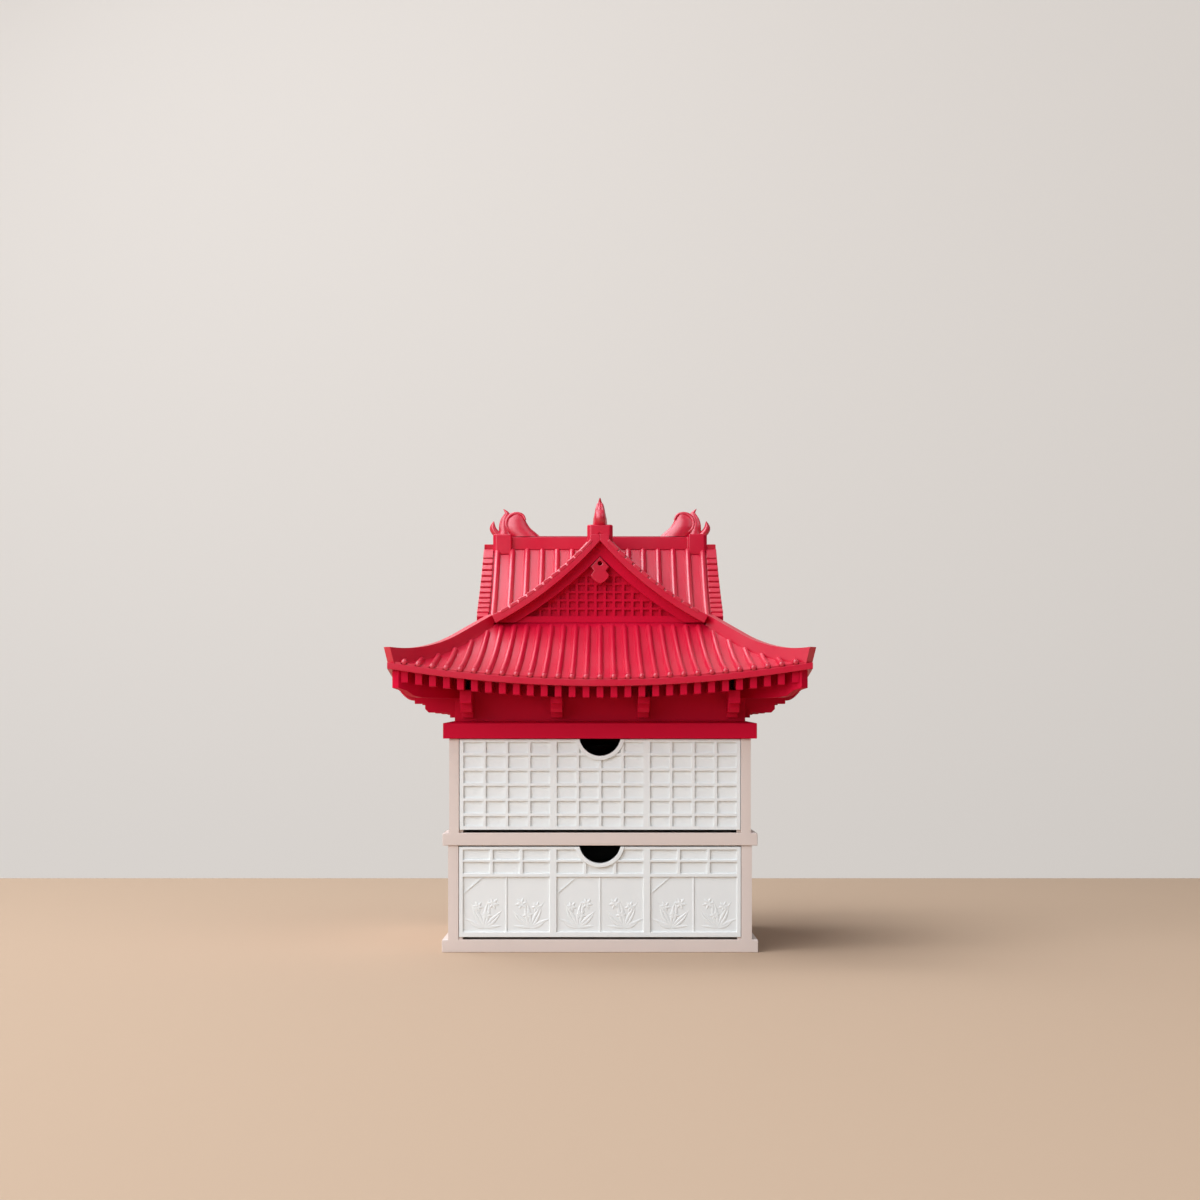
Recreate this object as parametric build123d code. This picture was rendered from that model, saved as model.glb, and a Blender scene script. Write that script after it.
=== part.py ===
from build123d import *

# Small desk chest: two stacked storeys with a drawer each, under a lift-off roof shaped as a
# traditional hall with four gables. Millimetres, +Z up, drawers open towards -Y. The origin is the
# centre of the plinth's underside. The roof is the same on all four sides, so each of its pieces
# is made once, on the front or on the front right corner, and turned.

import os
from math import sqrt

os.makedirs("parts", exist_ok=True)

ROOT2 = sqrt(2)
CUT = 1.0  # how far a cutting shape runs past the surface that it opens
BEYOND = 150.0  # further out than any piece reaches
ROOF_SPAN = (100.0, 300.0)  # heights that take in the whole roof
OUTWARD = Plane(origin=(0, 0, 0), x_dir=(0, -1, 0), z_dir=(-1, 0, 0))  # a side view of the front

# ---- Storeys ----
PLINTH_HALF = 102.85
PLINTH_TOP = 8.3
LOWER_HALF = 98.8
LOWER_INSIDE = 91.9
LOWER_TOP = 69.5
LEDGE_HALF = 102.35
LEDGE_TOP = 77.8
UPPER_HALF = 98.0
UPPER_INSIDE = 91.5
UPPER_TOP = 139.0
FRONT_STEP = 1.0  # the upper storey stands this far proud of the lower one
BACK_WALL = 4.0
EDGE_CHAMFER = 0.5
TENON = (3.0, 16.0, 4.0)  # width, length and height of the tabs on top of the side walls
SLOT = (3.6, 17.0, 4.6)
TENON_Y = 72.0
LOWER_TENON_X = (LOWER_HALF + LOWER_INSIDE) / 2
UPPER_TENON_X = (UPPER_HALF + UPPER_INSIDE) / 2

# ---- Drawers ----
LOWER_DRAWER = {"half": 91.6, "bottom": 9.9, "top": 68.7, "front": LOWER_HALF}
UPPER_DRAWER = {"half": 91.2, "bottom": 79.8, "top": 138.6, "front": LOWER_HALF + FRONT_STEP}
FRONT_THICK = 4.0
BOX_GAP = 0.8
BOX_WALL = 2.2
BOX_FLOOR = 2.0
BOX_DROP = 5.0  # the tray's rim lies below the front's top edge
STOP_GAP = 0.3
RUNNER_WIDTH = 2.6
RUNNER_SETBACK = 0.8
RUNNER_SHORT = 10.0  # the strips stop this far before the back
NOTCH_RADIUS = 13.6
NOTCH_RISE = 2.7  # the notch's centre above the drawer's top edge
RIM_WIDTH = 2.6
RIM_PROUD = 0.5

# ---- Relief on the drawer fronts ----
RELIEF = 1.2
OUTER_STILE = 2.5
INNER_STILE = 4.5
TOP_RAIL = 2.0
BOTTOM_RAIL = 2.3
BAR = 1.9
PANELS = 3
GRID_COLUMNS = 4
GRID_ROWS = 6
GRID_PITCH = 9.82
DOOR_BAR_Z = (58.7, 60.3)
DOOR_RAIL_Z = (49.0, 51.3)
DOOR_FOOT_Z = 13.2
DOOR_LEAVES = 2  # in each panel
DOOR_LINE = 1.1  # the line between two leaves
DOOR_LINE_RELIEF = 0.5
TRANSOM_COLUMNS = 3

# ---- Roof base ----
SILL_HALF = 101.85
SILL_EDGE = 149.0
SILL_TOP = 150.5
SILL_PLATE = 2.5
SILL_HOLLOW_HALF = 90.0
WALL_HALF = 94.7
WALL_THICK = 3.0
WALL_TOP = 186.0
BRACKET_X = (28.0, 86.0)
BRACKET_WIDTH = 7.4
BRACKET_STEPS = (98.2, 114.5, 121.3)  # how far each tier reaches, from the bottom one up
BRACKET_LEVELS = (152.7, 156.0, 161.7)
BRACKET_CHAMFER = 2.3

# ---- Eaves ----
EAVE_HALF = 134.8
EAVE_THICK = 3.5
EAVE_BOTTOM = 172.4
EAVE_TOP = 176.4
SWEEP_RADIUS = 824.0  # the eave line is an arc that lifts towards the corners
SOFFIT_THICK = 2.0
RAFTER_PITCH = 8.86
RAFTER_WIDTH = 4.3
RAFTER_BOTTOM = 165.3
RAFTERS_EACH_WAY = 14
CORNER_WIDTH = 6.2
CORNER_INSET = CORNER_WIDTH / 2 * ROOT2
CORNER_RAFTER_FOOT = ((130.0, 171.3), (125.0, 169.6), (121.5, 166.6), (116.0, 165.3), (92.0, 165.2))

# ---- Skirt roof ----
BED_OUTER = 134.0
BED_INNER = 72.0
BED_THICK = 2.6
BED_EAVE_Z = 177.6
BED_TOP_Z = 215.8
BED_EAVE_SLOPE = 0.4
UNDERSIDE_STEPS = 8
FLANGE_INNER = 66.0
FLANGE_SEAM = 1.5  # how far the flange runs into the slope
ROLL_TOP = 75.0
ROLL_SECTIONS = (BED_OUTER, 103.0, ROLL_TOP)
ROLL_FAN = 0.105  # how much the rolls close up from the eave to the top
ROLL_FAN_LOSS = 0.8  # the share of that which the outermost roll lacks
ROLL_FOOT = 3.5
ROLL_CROWN = 1.7
ROLL_HEIGHT = 2.2
CORNER_RIDGE_TOP = ((69.0, 223.6), (95.4, 206.3), (110.5, 199.4), (134.9, 197.1))
CORNER_RIDGE_FOOT = ((69.0, 209.5), (103.0, 190.5), (130.6, 185.0))
CORNER_RIDGE_TIP = (132.6, 186.8)

# ---- Cross gables, each line from the apex down one side ----
RAKE = ((0.0, 277.2), (39.2, 240.6), (72.2, 219.5))
VERGE_OUTER = 81.0
VERGE_INNER = 74.3
VERGE_FLAT = 273.7
VERGE_FLAT_HALF = 6.15
VERGE_FOOT = ((0.0, 269.5), (39.2, 233.4), (72.2, 213.3))  # the bargeboard's lower edge
APEX_DEPTH = 4.0
TILE_DROP = 2.0
TILE_THICK = 2.6
TILE_COURSES = 3  # the tiles follow the rake in this many straight courses
WING_ROLL_FIRST = 9.4
WING_ROLL_PITCH = 10.3
WING_ROLLS = 7
WING_ROLL_WIDTH = 3.4
WING_ROLL_SINK = 0.6
INNER_RAKE = ((0.0, 259.7), (26.7, 235.9), (55.9, 215.8))
LATTICE_FACE = 69.5
LATTICE_BACK = 66.5
LATTICE_RECESS = 1.6
LATTICE_PITCH_X = 6.12
LATTICE_PITCH_Z = 5.5
LATTICE_CELL = (4.3, 4.0)
LATTICE_FIRST_Z = 222.5
LATTICE_REACH = (7, 6, 4, 3, 2)  # cells each side of the middle one, row by row
BASE_BOARD_FACE = 72.5
BASE_BOARD_TOP = 219.9
PENDANT_FACE = 75.3
PENDANT_HALF = ((0.0, 259.2), (6.0, 252.6), (3.8, 249.6), (5.9, 246.6), (3.6, 243.2), (0.0, 241.4))

# ---- Ridge ----
RIDGE_HALF = 5.0
RIDGE_TOP = 279.6
BLOCK_HALF = 8.5
BLOCK_INNER = 61.4
BLOCK_TOP = 280.7
BLOCK_CHAMFER = 2.2
RIDGE_CHAMFER = 1.0
RIDGE_FLOOR = 262.0
ORNAMENT_ARCH = ((5.5, RIDGE_TOP), (3.7, 290.6), (0.0, 299.3))  # half of its end view

SIDES = ("front", "right", "back", "left")
CORNERS = ("front_right", "back_right", "back_left", "front_left")


def save(node, shape):
    export_step(shape, f"parts/{node}.step")


def save_turned(stem, names, shape):
    """The same piece on each of the four sides or corners."""
    for quarter, name in enumerate(names):
        save(f"{stem}_{name}", shape.rotate(Axis.Z, 90 * quarter))


def block(x, y, z):
    """A box given by its (low, high) pair on each axis."""
    size = [high - low for low, high in (x, y, z)]
    middle = [(high + low) / 2 for low, high in (x, y, z)]
    return Pos(*middle) * Box(*size)


def square_block(half, z):
    return block((-half, half), (-half, half), z)


def front_prism(face, near, far):
    """A face drawn in X and Z, extruded between two distances in front of the centre."""
    return extrude(Plane.XZ.offset(near) * face, far - near, dir=(0, -1, 0))


def front_wedge(inset=0.0):
    """The front quarter of the plan, kept `inset` along X away from the diagonals."""
    low, high = ROOF_SPAN
    plan = Polygon((0, -inset), (BEYOND - inset, -BEYOND), (inset - BEYOND, -BEYOND), align=None)
    return Pos(0, 0, low) * extrude(plan, high - low, dir=(0, 0, 1))


def corner_plate(face):
    """A face drawn in diagonal distance and Z, made into an upright plate on the corner."""
    diagonal = Plane(origin=(0, 0, 0), x_dir=(1, -1, 0), z_dir=(-1, -1, 0))
    return extrude(diagonal * face, CORNER_WIDTH / 2, both=True)


def on_diagonal(points):
    """Points given by their X distance and height, moved out along the diagonal."""
    return [(x * ROOT2, z) for x, z in points]


def eave_lift(x):
    return x * x / (2 * SWEEP_RADIUS)


# ---------------------------------------------------------------- storeys


def tabs(x, z, size):
    """Four upright tabs in the side walls, or the slots that take them."""
    tab = Box(*size, align=(Align.CENTER, Align.CENTER, Align.MIN))
    return [Pos(side * x, end * TENON_Y, z) * tab for side in (-1, 1) for end in (-1, 1)]


def storey(plate_half, plate, wall_half, inside, top, front):
    """A floor plate with a wall on three sides, open to the front and at the top."""
    floor = block((-plate_half, plate_half), (-front, plate_half), plate)
    floor = chamfer(floor.edges().group_by(Axis.Z)[-1], EDGE_CHAMFER)
    walls = block((-wall_half, wall_half), (-front, wall_half), (plate[1] - CUT, top))
    walls -= block((-inside, inside), (-front - CUT, wall_half - BACK_WALL), (plate[1], top + CUT))
    return floor + walls


def lower_case():
    shape = storey(PLINTH_HALF, (0, PLINTH_TOP), LOWER_HALF, LOWER_INSIDE, LOWER_TOP, LOWER_HALF)
    return shape + tabs(LOWER_TENON_X, LOWER_TOP, TENON)


def upper_case():
    plate = (LOWER_TOP, LEDGE_TOP)
    shape = storey(LEDGE_HALF, plate, UPPER_HALF, UPPER_INSIDE, UPPER_TOP, LOWER_HALF + FRONT_STEP)
    return shape - tabs(LOWER_TENON_X, LOWER_TOP, SLOT) + tabs(UPPER_TENON_X, UPPER_TOP, TENON)


def runner(side, inside, floor, top):
    x = sorted((side * inside, side * (inside - RUNNER_WIDTH)))
    return block(x, (RUNNER_SETBACK - LOWER_HALF, LOWER_HALF - RUNNER_SHORT), (floor, top))


# ---------------------------------------------------------------- drawers


def notch(drawer, radius, near, far):
    """A round bar through the drawer's front, centred just above its top edge."""
    disc = Pos(0, drawer["top"] + NOTCH_RISE) * Circle(radius)
    return front_prism(disc, near, far)


def drawer_box(drawer, wall_half):
    half = drawer["half"] - BOX_GAP
    front = drawer["front"] - FRONT_THICK
    back = wall_half - BACK_WALL - STOP_GAP
    bottom, top = drawer["bottom"], drawer["top"] - BOX_DROP
    tray = block((-half, half), (-front, back), (bottom, top))
    inside = block(
        (BOX_WALL - half, half - BOX_WALL),
        (BOX_WALL - front, back - BOX_WALL),
        (bottom + BOX_FLOOR, top + CUT),
    )
    return tray - inside - notch(drawer, NOTCH_RADIUS, front - BOX_WALL - CUT, front + CUT)


def drawer_front(drawer, recesses):
    """A plate with sunk recesses, given as ((x, x), (z, z), depth), and the rimmed finger notch."""
    half, front = drawer["half"], drawer["front"]
    z = (drawer["bottom"], drawer["top"])
    plate = block((-half, half), (-front, FRONT_THICK - front), z)
    plate -= [block(x, (-front - CUT, depth - front), rows) for x, rows, depth in recesses]
    rim = notch(drawer, NOTCH_RADIUS + RIM_WIDTH, front - FRONT_THICK, front + RIM_PROUD)
    rim &= block((-half, half), (-front - FRONT_THICK, FRONT_THICK - front), z)
    return plate + rim - notch(drawer, NOTCH_RADIUS, front - FRONT_THICK - CUT, front + RIM_PROUD + CUT)


def panel_starts(drawer):
    """The left edges of the panels between the stiles, and their width."""
    width = (2 * (drawer["half"] - OUTER_STILE) - (PANELS - 1) * INNER_STILE) / PANELS
    first = OUTER_STILE - drawer["half"]
    return [first + i * (width + INNER_STILE) for i in range(PANELS)], width


def columns(left, width, count, bar):
    """The (low, high) pairs of `count` equal openings parted by bars."""
    opening = (width - (count - 1) * bar) / count
    return [(left + i * (opening + bar), left + i * (opening + bar) + opening) for i in range(count)]


def paper_screen_front():
    """The upper drawer: paper screens of four by six panes."""
    starts, width = panel_starts(UPPER_DRAWER)
    low = UPPER_DRAWER["bottom"] + BOTTOM_RAIL
    high = UPPER_DRAWER["top"] - TOP_RAIL
    middle = (UPPER_DRAWER["bottom"] + UPPER_DRAWER["top"]) / 2
    bars = [middle + GRID_PITCH * (i - GRID_ROWS / 2) for i in range(1, GRID_ROWS)]
    edges = [low] + [z for bar in bars for z in (bar - BAR / 2, bar + BAR / 2)] + [high]
    rows = list(zip(edges[::2], edges[1::2]))
    recesses = []
    for left in starts:
        panes = columns(left, width, GRID_COLUMNS, BAR)
        recesses += [(x, z, RELIEF) for x in panes for z in rows]
    return drawer_front(UPPER_DRAWER, recesses)


def sliding_door_front():
    """The lower drawer: pairs of plain sliding doors under a transom of two rows of panes."""
    starts, width = panel_starts(LOWER_DRAWER)
    transom = (
        (DOOR_RAIL_Z[1], DOOR_BAR_Z[0]),
        (DOOR_BAR_Z[1], LOWER_DRAWER["top"] - TOP_RAIL),
    )
    leaves = (DOOR_FOOT_Z, DOOR_RAIL_Z[0])
    recesses = []
    for left in starts:
        panes = columns(left, width, TRANSOM_COLUMNS, BAR)
        recesses += [(x, z, RELIEF) for x in panes for z in transom]
        recesses += [(x, leaves, RELIEF) for x in columns(left, width, DOOR_LEAVES, DOOR_LINE)]
        recesses.append(((left, left + width), leaves, RELIEF - DOOR_LINE_RELIEF))
    return drawer_front(LOWER_DRAWER, recesses)


# ---------------------------------------------------------------- roof base


def roof_sill():
    beam = square_block(SILL_HALF, (UPPER_TOP, SILL_EDGE))
    slope = loft(
        [
            Pos(0, 0, SILL_EDGE) * Rectangle(2 * SILL_HALF, 2 * SILL_HALF),
            Pos(0, 0, SILL_TOP) * Rectangle(2 * WALL_HALF, 2 * WALL_HALF),
        ]
    )
    hollow = square_block(SILL_HOLLOW_HALF, (UPPER_TOP + SILL_PLATE, SILL_TOP + CUT))
    return beam + slope - hollow - tabs(UPPER_TENON_X, UPPER_TOP, SLOT)


def roof_wall():
    z = (SILL_TOP, WALL_TOP)
    return square_block(WALL_HALF, z) - square_block(WALL_HALF - WALL_THICK, z)


def brackets():
    """Four stepped arms, each up to the rafter that it carries."""
    lower, middle, upper = BRACKET_STEPS
    floor, shelf, tip = BRACKET_LEVELS
    arms = []
    for x in BRACKET_X:
        carried = RAFTER_PITCH * round((x + BRACKET_WIDTH / 2) / RAFTER_PITCH - 0.5)
        top = RAFTER_BOTTOM + eave_lift(carried)
        side = Polygon(
            (WALL_HALF, floor),
            (lower, floor),
            (lower, shelf),
            (middle - BRACKET_CHAMFER, shelf),
            (middle, shelf + BRACKET_CHAMFER),
            (middle, tip),
            (upper, tip),
            (upper, top),
            (WALL_HALF, top),
            align=None,
        )
        arm = extrude(OUTWARD * side, BRACKET_WIDTH / 2, both=True)
        arms += [Pos(x, 0, 0) * arm, Pos(-x, 0, 0) * arm]
    return Compound(children=arms)


# ---------------------------------------------------------------- eaves


def eave_arc(z, half):
    return ThreePointArc((-half, z + eave_lift(half)), (0, z), (half, z + eave_lift(half)))


def band(upper, lower):
    """The face between two curves that start and end above each other."""
    return make_face([upper, lower, Line(upper @ 0, lower @ 0), Line(upper @ 1, lower @ 1)])


def eave_board():
    face = band(eave_arc(EAVE_TOP, EAVE_HALF), eave_arc(EAVE_BOTTOM, EAVE_HALF))
    return front_prism(face, EAVE_HALF - EAVE_THICK, EAVE_HALF) & front_wedge()


def rafters():
    """A soffit board that follows the eave's arc, and a row of rafters under it, as one comb."""
    far = EAVE_HALF - EAVE_THICK
    comb = [(-far, EAVE_BOTTOM + eave_lift(far))]
    for i in range(-RAFTERS_EACH_WAY, RAFTERS_EACH_WAY + 1):
        left = i * RAFTER_PITCH - RAFTER_WIDTH / 2
        right = i * RAFTER_PITCH + RAFTER_WIDTH / 2
        top = EAVE_BOTTOM + eave_lift(i * RAFTER_PITCH)
        foot = RAFTER_BOTTOM + eave_lift(i * RAFTER_PITCH)
        comb += [(left, top), (left, foot), (right, foot), (right, top)]
    comb.append((far, EAVE_BOTTOM + eave_lift(far)))
    face = band(eave_arc(EAVE_BOTTOM + SOFFIT_THICK, far), Polyline(*comb))
    return front_prism(face, WALL_HALF, far) & front_wedge(CORNER_INSET)


def corner_rafter(boards):
    foot = Polyline(*on_diagonal(CORNER_RAFTER_FOOT))
    outer, inner = CORNER_RAFTER_FOOT[0][0], CORNER_RAFTER_FOOT[-1][0]
    crown = EAVE_BOTTOM + SOFFIT_THICK
    middle = (outer + inner) / 2
    top = ThreePointArc(*on_diagonal((x, crown + eave_lift(x)) for x in (outer, middle, inner)))
    plate = corner_plate(band(foot, top))
    return plate - square_block(WALL_HALF, (SILL_TOP, WALL_TOP)) - boards


# ---------------------------------------------------------------- skirt roof


def bed_height(distance):
    """Height of the tile bed on the middle line, hollow towards the eave."""
    run = BED_OUTER - distance
    whole = BED_OUTER - BED_INNER
    bend = (BED_TOP_Z - BED_EAVE_Z - BED_EAVE_SLOPE * whole) / whole**2
    return BED_EAVE_Z + BED_EAVE_SLOPE * run + bend * run**2


def bed_lift(x, distance):
    """The corner's lift, which dies away up the slope."""
    share = (distance - BED_INNER) / (BED_OUTER - BED_INNER)
    return eave_lift(x) * share**2


def skirt_section(distance):
    """Across the slope: the tile bed's underside, and its top with a roll over each rafter."""
    close = ROLL_FAN * (BED_OUTER - distance) / (BED_OUTER - BED_INNER)
    level = bed_height(distance)
    outline = [(-BED_OUTER, level + bed_lift(BED_OUTER, distance))]
    for i in range(-RAFTERS_EACH_WAY, RAFTERS_EACH_WAY + 1):
        outward = abs(i) / RAFTERS_EACH_WAY
        x = i * RAFTER_PITCH * (1 - close * (1 - ROLL_FAN_LOSS * outward**3))
        z = level + bed_lift(x, distance)
        outline.append((x - ROLL_FOOT / 2, z))
        outline.append((x - ROLL_CROWN / 2, z + ROLL_HEIGHT))
        outline.append((x + ROLL_CROWN / 2, z + ROLL_HEIGHT))
        outline.append((x + ROLL_FOOT / 2, z))
    outline.append((BED_OUTER, level + bed_lift(BED_OUTER, distance)))
    for i in range(UNDERSIDE_STEPS + 1):
        x = BED_OUTER * (1 - 2 * i / UNDERSIDE_STEPS)
        outline.append((x, level + bed_lift(x, distance) - BED_THICK))
    return Plane.XZ.offset(distance) * Polygon(*outline, align=None)


def skirt_tiles(board):
    """One slope of the skirt roof, with the flange that the gable stands on."""
    slope = loft([skirt_section(distance) for distance in ROLL_SECTIONS], ruled=True)
    level = bed_height(ROLL_TOP)
    side = Polygon(
        (ROLL_TOP + FLANGE_SEAM, level - BED_THICK / 2),
        (ROLL_TOP, level),
        (BED_INNER, BED_TOP_Z),
        (FLANGE_INNER, BED_TOP_Z),
        (FLANGE_INNER, BED_TOP_Z - BED_THICK),
        (BED_INNER, BED_TOP_Z - BED_THICK),
        (ROLL_TOP, level - BED_THICK),
        align=None,
    )
    flange = extrude(OUTWARD * side, ROLL_TOP, both=True)
    return ((slope + flange) & front_wedge(CORNER_INSET)) - board


def corner_ridge(boards):
    """The hip ridge: an upright plate between two slopes, whose end leans out over the corner."""
    crest = on_diagonal(CORNER_RIDGE_TOP)
    top = ThreePointArc(*crest[1:])
    foot = ThreePointArc(*on_diagonal(CORNER_RIDGE_FOOT))
    tip = on_diagonal([CORNER_RIDGE_TIP])[0]
    ends = [Polyline(top @ 0, crest[0], foot @ 0), Polyline(foot @ 1, tip, top @ 1)]
    face = make_face([top, foot] + ends)
    across = (-RAKE[2][0], RAKE[2][0])
    along = (-VERGE_INNER, VERGE_INNER)
    gables = [block(across, along, ROOF_SPAN), block(along, across, ROOF_SPAN)]
    return corner_plate(face) - boards - gables


# ---------------------------------------------------------------- gables


def rake_arcs(line):
    """Both halves of a rake, left and right."""
    return [ThreePointArc(*[(side * x, z) for x, z in line]) for side in (-1, 1)]


def tile_lines(drop):
    """Both halves of the rake as the tiles follow it, this far below its top line."""
    steps = [i / TILE_COURSES for i in range(TILE_COURSES + 1)]
    arcs = rake_arcs([(x, z - drop) for x, z in RAKE])
    return [Polyline(*[arc @ step for step in steps]) for arc in arcs]


def tent(upper, lower):
    """An inverted V between two pairs of rakes."""
    edges = []
    for outer, inner in zip(upper, lower):
        edges += [outer, inner, Line(outer @ 1, inner @ 1)]
    return make_face(edges)


def under_rakes(rakes):
    """Everything below a pair of rakes, down past the tile bed."""
    left, right = rakes
    feet = [((rake @ 1).X, SILL_TOP) for rake in rakes]
    return make_face([left, right, Polyline(left @ 1, *feet, right @ 1)])


def above_bed(top=ROOF_SPAN[1]):
    return square_block(BEYOND, (BED_TOP_Z, top))


def wing_tiles(cap):
    """One wing of the upper roof: two curved slopes with their rolls, mitred into the valleys."""
    slopes = tent(tile_lines(TILE_DROP), tile_lines(TILE_DROP + TILE_THICK))
    shell = front_prism(slopes, 0, VERGE_INNER)
    roll = tent(tile_lines(0), tile_lines(TILE_DROP + WING_ROLL_SINK))
    roll -= Pos(0, RIDGE_TOP) * Rectangle(2 * RIDGE_HALF, BEYOND)
    rolls = []
    for i in range(WING_ROLLS):
        near = WING_ROLL_FIRST + i * WING_ROLL_PITCH - WING_ROLL_WIDTH / 2
        rolls.append(front_prism(roll, near, near + WING_ROLL_WIDTH))
    return ((shell + rolls) & front_wedge() & above_bed()) - cap


def gable_panel():
    """The lattice wall, the inner bargeboard that frames it and the board under it."""
    shape = under_rakes(tile_lines(TILE_DROP + TILE_THICK))
    wall = front_prism(shape, LATTICE_BACK, LATTICE_FACE)
    cells = []
    for row, reach in enumerate(LATTICE_REACH):
        z = LATTICE_FIRST_Z + row * LATTICE_PITCH_Z
        for i in range(-reach, reach + 1):
            cell = Pos(i * LATTICE_PITCH_X, z) * Rectangle(*LATTICE_CELL)
            cells.append(front_prism(cell, LATTICE_FACE - LATTICE_RECESS, LATTICE_FACE + CUT))
    opening = under_rakes(rake_arcs(INNER_RAKE))
    frame = front_prism(shape - opening, LATTICE_FACE, VERGE_INNER)
    board = front_prism(opening, LATTICE_FACE, BASE_BOARD_FACE)
    board &= above_bed(BASE_BOARD_TOP)
    return (wall - cells + frame + board) & front_wedge() & above_bed()


def bargeboard(ridges):
    rakes = front_prism(tent(rake_arcs(RAKE), rake_arcs(VERGE_FOOT)), VERGE_INNER, VERGE_OUTER)
    rakes &= above_bed(VERGE_FLAT)
    apex = Pos(0, VERGE_FLAT - APEX_DEPTH / 2) * Rectangle(2 * VERGE_FLAT_HALF, APEX_DEPTH)
    return rakes + front_prism(apex, VERGE_INNER, VERGE_OUTER) - ridges


def gable_pendant():
    """A flat drop with two shoulders and a heart-shaped foot."""
    outline = list(PENDANT_HALF) + [(-x, z) for x, z in PENDANT_HALF[-2:0:-1]]
    return front_prism(Polygon(*outline, align=None), LATTICE_FACE, PENDANT_FACE)


# ---------------------------------------------------------------- ridge


def ridge_cap():
    """The crossing ridges with a block on each end, seated over the tiles."""
    arm = block((-RIDGE_HALF, RIDGE_HALF), (-BLOCK_INNER - CUT, 0), (RIDGE_FLOOR, RIDGE_TOP))
    arm = chamfer(arm.edges().filter_by(Axis.Y).group_by(Axis.Z)[-1], RIDGE_CHAMFER)
    end = block((-BLOCK_HALF, BLOCK_HALF), (-VERGE_INNER, -BLOCK_INNER), (RIDGE_FLOOR, BLOCK_TOP))
    end = chamfer(end.edges().filter_by(Axis.Z).group_by(Axis.Y)[0], BLOCK_CHAMFER)
    cross = arm + end
    for quarter in range(1, 4):
        cross += (arm + end).rotate(Axis.Z, 90 * quarter)
    under = front_prism(under_rakes(tile_lines(TILE_DROP)), -VERGE_OUTER, VERGE_OUTER)
    return cross - under - under.rotate(Axis.Z, 90)


def ridge_ornament(cap):
    """A curled finial: its side view and its end view, cut through each other."""
    back = ThreePointArc((41.2, RIDGE_TOP), (48.0, 285.6), (52.0, 292.1))
    rim = ThreePointArc((52.0, 292.1), (57.0, 296.0), (63.1, 295.4))
    crest = Polyline((63.1, 295.4), (64.4, 297.6), (67.3, 299.1))
    curl = ThreePointArc((67.3, 299.1), (66.9, 292.3), (70.1, 285.4))
    fin_in = ThreePointArc((70.1, 285.4), (72.7, 286.6), (73.9, 290.0))
    fin_out = ThreePointArc((73.9, 290.0), (76.0, 284.3), (72.2, RIDGE_TOP))
    floor = Line(fin_out @ 1, back @ 0)
    side = make_face([back, rim, crest, curl, fin_in, fin_out, floor])
    body = extrude(OUTWARD * side, ORNAMENT_ARCH[0][0], both=True)
    arch = list(ORNAMENT_ARCH) + [(-x, z) for x, z in ORNAMENT_ARCH[1::-1]]
    return (body & front_prism(Polygon(*arch, align=None), 0, BEYOND)) - cap


# ---------------------------------------------------------------- the pieces

save("lower_case", lower_case())
save("upper_case", upper_case())
for hand, side in (("left", -1), ("right", 1)):
    save(f"lower_runner_{hand}", runner(side, LOWER_INSIDE, PLINTH_TOP, LOWER_DRAWER["bottom"]))
    save(f"upper_runner_{hand}", runner(side, UPPER_INSIDE, LEDGE_TOP, UPPER_DRAWER["bottom"]))
save("lower_drawer_box", drawer_box(LOWER_DRAWER, LOWER_HALF))
save("upper_drawer_box", drawer_box(UPPER_DRAWER, UPPER_HALF))
save("lower_drawer_front", sliding_door_front())
save("upper_drawer_front", paper_screen_front())

save("roof_sill", roof_sill())
save("roof_wall", roof_wall())
save_turned("brackets", SIDES, brackets())

board = eave_board()
boards = [board, board.rotate(Axis.Z, 90)]
save_turned("eave_board", SIDES, board)
save_turned("rafters", SIDES, rafters())
save_turned("corner_rafter", CORNERS, corner_rafter(boards))
save_turned("skirt_tiles", SIDES, skirt_tiles(board))
ridge = corner_ridge(boards)
save_turned("corner_ridge", CORNERS, ridge)

cap = ridge_cap()
save("ridge_cap", cap)
save_turned("wing_tiles", SIDES, wing_tiles(cap))
save_turned("gable_panel", SIDES, gable_panel())
save_turned("bargeboard", SIDES, bargeboard([ridge, ridge.rotate(Axis.Z, -90)]))
save_turned("gable_pendant", SIDES, gable_pendant())
save_turned("ridge_ornament", SIDES, ridge_ornament(cap))
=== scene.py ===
import math

import bmesh
import bpy
from bpy.props import FloatProperty, FloatVectorProperty, IntProperty, PointerProperty
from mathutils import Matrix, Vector


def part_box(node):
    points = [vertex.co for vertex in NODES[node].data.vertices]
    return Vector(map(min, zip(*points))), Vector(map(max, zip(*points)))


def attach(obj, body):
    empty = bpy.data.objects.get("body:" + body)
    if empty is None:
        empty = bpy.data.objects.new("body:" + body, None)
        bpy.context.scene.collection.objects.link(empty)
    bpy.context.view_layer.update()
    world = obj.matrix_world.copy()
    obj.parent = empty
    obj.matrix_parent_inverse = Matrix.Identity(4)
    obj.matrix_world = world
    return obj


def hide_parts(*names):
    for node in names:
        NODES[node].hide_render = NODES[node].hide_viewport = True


# The looks of a small drawer chest with a lift-off hall roof, laid out as an add-on: property
# groups of sizes and colours, an operator for each group of like pieces and one for the stage.
# Metres, +Z up, drawers open towards -Y. The roof is alike on all four sides, so each of its pieces
# is drawn on the front, or on the front right corner, and turned.

bl_info = {
    "name": "Small Drawer Chest",
    "version": (1, 0, 0),
    "blender": (4, 5, 0),
    "location": "View3D > Sidebar > Drawer Chest",
    "description": "Finishes a small drawer chest with a four-gabled roof on its CAD frame",
    "category": "Object",
}

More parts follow.
